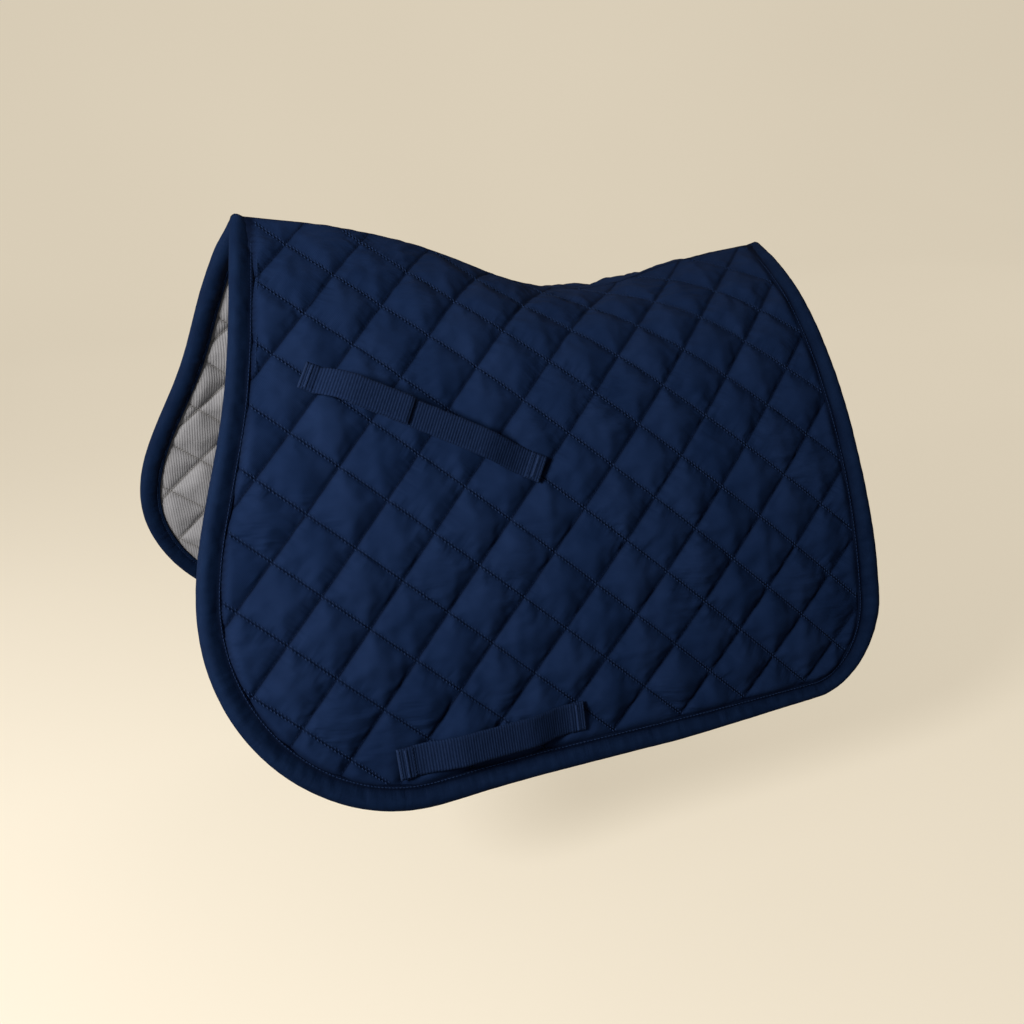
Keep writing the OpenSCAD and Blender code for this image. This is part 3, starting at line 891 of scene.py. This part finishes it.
# how far the roll bulges past the drawn edge along its length, or falls short of it below 0
GROW = np.interp(S, [0, 380, 560, 680, 900, 1000, 1060, 1110, 1185, 1240, 1330, 1450, 1603],
                 [0, 0, 2, 4, 4, 0.5, -1.5, 1, 5, 5, 2, 1.5, 1.5])
for k, (a, h, pull) in enumerate(SECTION):
    puff = 0.42 * pull * along(S, a * 0.6) + 0.25 * broad(S, 0 * S) * min(1, pull * 2)
    puff = puff * (1 if h > -5 else -1)
    drift = 0.5 * broad(S, 50 + 0 * S) if a > 15 and h > -5 else 0
    a2 = a + 0.25 * pull * along(S + 40, a) + drift
    a2 = a2 - GROW * max(0, 1 - a / BIND_REACH)
    e = P + IN * np.asarray(a2)[:, None]
    ww = np.maximum(e[:, 1], spine_w(e[:, 0]))
    rings.append(over(e[:, 0], ww, h + puff))
    if k:
        b, g, _ = SECTION[k - 1]
        round_it += math.hypot(a - b, h - g)
    uv.append(np.stack([S, np.full(len(S), round_it)], -1))
    # painted shade in the crease beside the stitching and on the hidden inner fold
    dark = {17.2: 1.0, 20.6: 1.0, 19.6: 0.8, 18.4: 0.7, 15.6: 0.45, 13.0: 0.1}.get(a, 0.0)
    if a == 20.4 or 8 < a < 9.5:
        dark = 1.0
    sunk.append(np.full(len(S), dark))
    # painted highlight along the crown of the roll on both faces, stronger in places
    rubbed.append(np.full(len(S), 1.0 if 2 < a < 11 else 0.35) * (0.6 + 0.4 * broad(S, 20 + 0 * S)))
binding = sweep("near_edge_binding_rolled", np.stack(rings, 1), np.stack(uv, 1), sunk, rubbed)
BINDING = place(binding, ["edge_binding"], M_BIND)

STITCH_STEP, STITCH_L = 3.6, 3.0
ROUND_EDGE = np.arange(4, int(S[-1]) - 8, STITCH_STEP)
DOWN_FRONT = np.arange(14, 150, STITCH_STEP)


def beside_edge(s, a, h):
    """Points s mm along the edge, a mm in from it and h mm over the cloth, and their normals."""
    e = np.stack([np.interp(s, S, P[:, k]) for k in (0, 1)], -1)
    d = np.stack([np.interp(s, S, IN[:, k]) for k in (0, 1)], -1)
    e = e + d * a
    ww = np.maximum(e[:, 1], spine_w(e[:, 0]) + 0.5)
    return over(e[:, 0], ww, h), normal(e[:, 0], ww)


def edge_row(name, starts, a, h, radius, flip=1):
    """A row of stitches beside the edge; flip is -1 on the lining."""
    p, up = beside_edge(starts, a, h)
    q, _ = beside_edge(starts + STITCH_L, a, h)
    return stitches(name, p, q, flip * up, radius)


place(edge_row("near_binding_stitch_row", ROUND_EDGE, 18.5, -2.0, 0.42),
      ["binding_stitching"], M_THREAD)
place(edge_row("near_binding_inner_stitch_row", ROUND_EDGE, 17.2, -9.7, 0.42, -1),
      [], M_THREAD)
# the short row of stitches that closes the front of the quilt beside the binding
place(edge_row("near_front_topstitch", DOWN_FRONT, 23.5, -1.7, 0.40), [], M_THREAD)

# ------------------------------ spine seam
sx = np.arange(WITHERS_X + 12, REAR_X0 + 4, 3.8)


def spine_point(x, dw):
    return over(x, spine_w(x) + dw, 0.0 * x - 1.3)


seam = []
for side in (-1, 1):
    p, q = spine_point(sx, 2.6), spine_point(sx + 3.1, 2.6)
    up = normal(sx, spine_w(sx) + 2.6)
    for v in (p, q, up):
        v[:, 1] *= -side
    seam.append((p, q, up))
seam_obj = stitches("spine_seam_thread", *[np.concatenate([a, b]) for a, b in zip(*seam)], 0.4)
seam_obj.data.materials.append(M_THREAD)
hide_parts("spine_seam_stitching")
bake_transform(seam_obj)

# ------------------------------ webbing
BILLET_L, GIRTH_L = np.linalg.norm(BILLET_B - BILLET_A), np.linalg.norm(GIRTH_B - GIRTH_A)
BILLET_WEB, GIRTH_WEB, PATCH_T, PATCH_W = (25.0, 1.8), (28.0, 1.8), 0.8, 21.0
BILLET_GAP, GIRTH_GAP, SEWN_N, FOOT_L, TAB_END, BASE_START = 12.0, 12.0, 0.4, 14.0, 97.0, 44.0
TAB_N = BILLET_GAP + BILLET_WEB[1] + 2 * PATCH_T + 0.3


def base_n(l):
    return BILLET_GAP + (SEWN_N - BILLET_GAP) * ease((l - (BILLET_L - 62)) / 47)


def tab_rise(l):
    t = np.clip((l - FOOT_L) / 36, 0, 1)
    return SEWN_N + (TAB_N - SEWN_N) * (1 - (1 - t) ** 2.2)


def girth_n(l):
    return SEWN_N + (GIRTH_GAP - SEWN_N) * ease((l - 15) / 46) * ease((GIRTH_L - 15 - l) / 46)


def strap_at(a, b, l, t):
    d = (b - a) / np.linalg.norm(b - a)
    return a[0] + l * d[0] - t * d[1], a[1] + l * d[1] + t * d[0]


def webbing(name, a, b, l0, l1, under, size, folds=(), seed=1):
    """A ribbed woven tape along a strap line. folds are (from, to, extra mm) where its end is
    turned under and lies double."""
    pitch = 2.5
    l = np.arange(l0, l1 + 1e-6, (l1 - l0) / round((l1 - l0) / 0.62))
    half, thick = size[0] / 2, size[1]
    wob = waves(seed, 10, 6, 22)
    rib = np.abs(np.sin(math.pi * l / pitch)) ** 0.7
    extra = 0 * l
    for f0, f1, e in folds:
        extra = np.maximum(extra, e * ease((l - f0 + 1.2) / 1.2) * ease((f1 + 1.2 - l) / 1.2))
    ends = np.minimum(ease((l - l0) / 1.1 + 0.25), ease((l1 - l) / 1.1 + 0.25))
    ts = np.concatenate([np.linspace(-1, 1, 15), np.linspace(1, -1, 9)])
    upper = np.arange(len(ts)) < 15
    rings, uv, sunk, highlights = [], [], [], []
    for t, u in zip(ts, upper):
        edge = np.clip((abs(t) - 0.9) / 0.1, 0, 1)
        round_off = 0.45 * edge**2
        h = thick * ends
        wave = 0.10 * wob(l, t * half)
        if u:
            n = under(l) + h * (1 - round_off) + extra + 0.5 * (rib - 0.6) * (1 - 0.4 * edge)
        else:
            n = under(l) + thick * (1 - ends) * 0.4 + thick * 0.35 * edge**2 - 0.1 * (rib - 0.6)
        n = n + wave
        tt = t * half * (1 + 0.012 * (rib - 0.5)) + 0.12 * wob(l + 80, 0 * l)
        px, pw = strap_at(a, b, l, tt)
        rings.append(over(px, pw, n))
        uv.append(np.stack([l, np.full(len(l), t * half)], -1))
        # painted shade between the ribs and under the tape; painted highlight on the rib tops and at
        # both ends
        sunk.append(np.clip((1 - rib) * 1.1, 0, 1) if u else np.full(len(l), 0.8))
        highlights.append(np.clip(rib - 0.55, 0, 1) * (1 if u else 0)
                   + (0.8 * (np.exp(-(l - l0) / 1.5) + np.exp(-(l1 - l) / 1.5)) if u else 0))
    return sweep(name, np.stack(rings, 1), np.stack(uv, 1), sunk, highlights)


base = webbing("near_billet_base_webbing", BILLET_A, BILLET_B, BASE_START, BILLET_L, base_n,
               BILLET_WEB, [(BILLET_L - 14, BILLET_L, 0.9)], 41)
place(base, ["billet_base_strap"], M_WEB, crosses=False)


def tab_n(l):
    up = tab_rise(l) + 0.3 * ease((l - FOOT_L) / 6) - 1.3 * ease((l - 93) / 4)
    return np.where(l < FOOT_L, SEWN_N, up)


tab = webbing("near_billet_tab_webbing", BILLET_A, BILLET_B, 0, TAB_END, tab_n, BILLET_WEB,
              [(0, 12, 0.5), (TAB_END - 13, TAB_END, 0.2)], 42)
for o in place(tab, ["billet_tab_foot", "billet_tab"], M_WEB, crosses="tab"):
    side = o.name.split("_")[0]
    a = over(*[np.array([v]) for v in strap_at(BILLET_A, BILLET_B, 9.0, 0.0)], np.array([2.0]))[0]
    b = over(*[np.array([v]) for v in strap_at(BILLET_A, BILLET_B, 21.0, 0.0)], np.array([2.0]))[0]
    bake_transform(o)

girth = webbing("near_girth_loop_webbing", GIRTH_A, GIRTH_B, 0, GIRTH_L, girth_n, GIRTH_WEB,
                [(0, 14, 0.8), (GIRTH_L - 14, GIRTH_L, 0.8)], 43)
place(girth, ["girth_loop"], M_WEB, crosses=False)


def fuzzy_patch(name, under, thick, seed):
    """A patch of hook or loop tape, its pile uneven."""
    l = np.linspace(48, 93, 76)
    t = np.linspace(-PATCH_W / 2, PATCH_W / 2, 36)
    pile = np.random.RandomState(seed).rand(len(l), len(t))
    L, T = np.meshgrid(l, t, indexing="ij")
    px, pw = strap_at(BILLET_A, BILLET_B, L.ravel(), T.ravel())
    base = under(L.ravel())
    lo = over(px, pw, base)
    hi = over(px, pw, base + thick - 0.25 * pile.ravel() * (0.3 < thick))
    k = np.arange(len(px)).reshape(L.shape)
    f = np.stack([k[:-1, :-1], k[1:, :-1], k[1:, 1:], k[:-1, 1:]], -1).reshape(-1, 4)
    f = facing(hi, f, 1)
    uvs = np.concatenate([np.stack([L.ravel(), T.ravel()], -1)] * 2)
    return new_object(name, np.concatenate([hi, lo]), closed(f, len(hi)), uvs)


loop_patch = fuzzy_patch("near_loop_tape", lambda l: base_n(l) + BILLET_WEB[1] + 0.1, PATCH_T, 51)
place(loop_patch, ["loop_patch"], M_FUZZ, crosses=False)
hook_patch = fuzzy_patch("near_hook_tape", lambda l: TAB_N + 0.1 - PATCH_T + 0 * l, PATCH_T, 52)
place(hook_patch, ["hook_patch"], M_FUZZ, crosses=False, rider="near_tab")


def tack(name, a, b, l, width, high, spread=3.0):
    """A bar of close satin stitches across a strap."""
    t = np.arange(-width / 2, width / 2, 0.42)
    r = np.random.RandomState(int(l * 7))
    lo = strap_at(a, b, l - spread / 2 + 0.3 * r.rand(len(t)), t)
    hi = strap_at(a, b, l + spread / 2 - 0.3 * r.rand(len(t)), t + 0.25)
    n = np.full(len(t), high)
    return stitches(name, over(lo[0], lo[1], n), over(hi[0], hi[1], n), normal(lo[0], lo[1]), 0.33,
                    0.35, 0.2)


def web_row(a, b, l, width, high):
    """A straight row of stitches across a strap, as ends for stitches()."""
    t = np.arange(-width / 2, width / 2 - 2.4, 2.9)
    lo, hi = strap_at(a, b, l + 0 * t, t), strap_at(a, b, l + 0 * t, t + 2.3)
    n = np.full(len(t), high)
    return over(lo[0], lo[1], n), over(hi[0], hi[1], n), normal(lo[0], lo[1])


def rows(name, parts, radius=0.36):
    return stitches(name, *[np.concatenate(v) for v in zip(*parts)], radius)


HIGH = SEWN_N + BILLET_WEB[1]
BILLET_TACK_W, GIRTH_TACK_W = 21, 24
for which, a, b, l, width, high in (
        ("billet_base", BILLET_A, BILLET_B, BILLET_L - 8, BILLET_TACK_W, 1.0),
        ("billet_foot", BILLET_A, BILLET_B, FOOT_L / 2 - 1, BILLET_TACK_W, 0.6),
        ("girth_front", GIRTH_A, GIRTH_B, 8, GIRTH_TACK_W, 0.9),
        ("girth_rear", GIRTH_A, GIRTH_B, GIRTH_L - 8, GIRTH_TACK_W, 0.9)):
    place(tack(f"near_{which}_tack", a, b, l, width, HIGH + high),
          [f"{which}_bartack"], M_TACK, crosses=False)
ends = [web_row(BILLET_A, BILLET_B, BILLET_L - 2.2, 23, HIGH + 0.95),
        web_row(BILLET_A, BILLET_B, BILLET_L - 13, 23, HIGH + 0.9),
        web_row(BILLET_A, BILLET_B, 2.0, 23, HIGH + 0.5),
        web_row(GIRTH_A, GIRTH_B, 2.0, 26, HIGH + 0.85),
        web_row(GIRTH_A, GIRTH_B, 14.5, 26, HIGH + 0.7),
        web_row(GIRTH_A, GIRTH_B, GIRTH_L - 2, 26, HIGH + 0.85),
        web_row(GIRTH_A, GIRTH_B, GIRTH_L - 14.5, 26, HIGH + 0.7)]
place(rows("near_strap_end_stitches", ends), [], M_TACK, crosses=False)

# ------------------------------ each cloth piece's side, read from its name and not used
for o in OUTER + LINING:
    side = o.name.split("_")[0]

# ------------------------------ studio
low = CAD_BOX[0][2]


def stage_sheet():
    """A pale sweep: floor running up into a wall."""
    prof = [(-3.5, 0.0), (-1.0, 0.0), (1.5, 0.0), (3.0, 0.0)]
    prof += [(3.0 + 1.2 * math.sin(a), 1.2 * (1 - math.cos(a))) for a in np.linspace(0.1, 1.57, 14)]
    prof += [(4.2, 2.5), (4.2, 5.5)]
    xs = np.linspace(-6, 6, 9)
    v = np.array([[x, y, z + low - 0.16] for y, z in prof for x in xs]) / MM
    m = len(xs)
    f = [[r * m + c, r * m + c + 1, (r + 1) * m + c + 1, (r + 1) * m + c]
         for r in range(len(prof) - 1) for c in range(m - 1)]
    return new_object("studio_sweep", v, np.array(f))


stage = stage_sheet()
sm = Mat("studio_paper", (0.45, 0.42, 0.36), 0.9)
tone = sm.node("ShaderNodeTexNoise")
tone.inputs["Scale"].default_value = 0.7
sm.link(sm.coord.outputs["Object"], tone.inputs["Vector"])
stage.data.materials.append(sm.end(sm.ramp(tone.outputs["Fac"], [
    (0.3, (0.30, 0.275, 0.235)), (0.7, (0.34, 0.315, 0.27))])))
for node in sm.nt.nodes:
    if node.type == "BSDF_PRINCIPLED":
        node.inputs["Emission Color"].default_value = (0.80, 0.70, 0.535, 1)
        node.inputs["Emission Strength"].default_value = 0.745
stage.visible_diffuse = stage.visible_glossy = False

# the camera that was fitted to the photograph: angles in radians, place in metres
AZ, EL, ROLL = -0.403, 0.367, -0.040
CAMERA_AT = (-0.5015, -0.9916, 0.1907)
LENS_MM, SENSOR_MM = 37.79296875, 36
f = Vector((-math.sin(AZ) * math.cos(EL), math.cos(AZ) * math.cos(EL), -math.sin(EL)))
r = Vector((math.cos(AZ), math.sin(AZ), 0))
u = r.cross(f)
r2, u2 = math.cos(ROLL) * r + math.sin(ROLL) * u, math.cos(ROLL) * u - math.sin(ROLL) * r
cam = bpy.data.objects.new("camera", bpy.data.cameras.new("camera"))
cam.data.lens, cam.data.sensor_width = LENS_MM, SENSOR_MM
cam.data.clip_start, cam.data.clip_end = 0.05, 50
cam.matrix_world = Matrix.Translation(CAMERA_AT) @ Matrix(
    (r2, u2, -f)).transposed().to_4x4()
bpy.context.scene.collection.objects.link(cam)
bpy.context.scene.camera = cam


def area(name, at, to, size, power, color):
    d = bpy.data.lights.new(name, "AREA")
    d.shape, d.size, d.energy, d.color = "DISK", size, power, color
    o = bpy.data.objects.new(name, d)
    o.location = at
    o.rotation_euler = (Vector(to) - Vector(at)).to_track_quat("-Z", "Y").to_euler()
    bpy.context.scene.collection.objects.link(o)


aim = (-0.2, -0.1, -0.1)
area("key", (-1.35, -0.8, 0.5), aim, 0.45, 31, (1, 0.99, 0.975))
area("top", (-0.6, -0.4, 1.5), aim, 1.0, 0.8, (0.96, 0.98, 1))
area("rim", (0.3, 1.7, 1.6), aim, 1.2, 1.5, (1, 0.98, 0.95))
area("inside", (-1.5, 0.5, -0.1), (-0.3, 0.15, -0.25), 0.5, 5.6, (1, 0.98, 0.96))
area("floor_wash", (1.6, 1.9, 3.4), (1.4, 2.6, 0), 3.0, 25, (1, 0.97, 0.92))
world = bpy.data.worlds.new("studio")
bpy.context.scene.world = world
world.use_nodes = True
world.node_tree.nodes["Background"].inputs[0].default_value = (0.98, 0.98, 0.98, 1)
world.node_tree.nodes["Background"].inputs[1].default_value = 0.155
bpy.context.scene.view_settings.view_transform = "Standard"
bpy.context.scene.view_settings.look = "None"

bpy.context.view_layer.update()
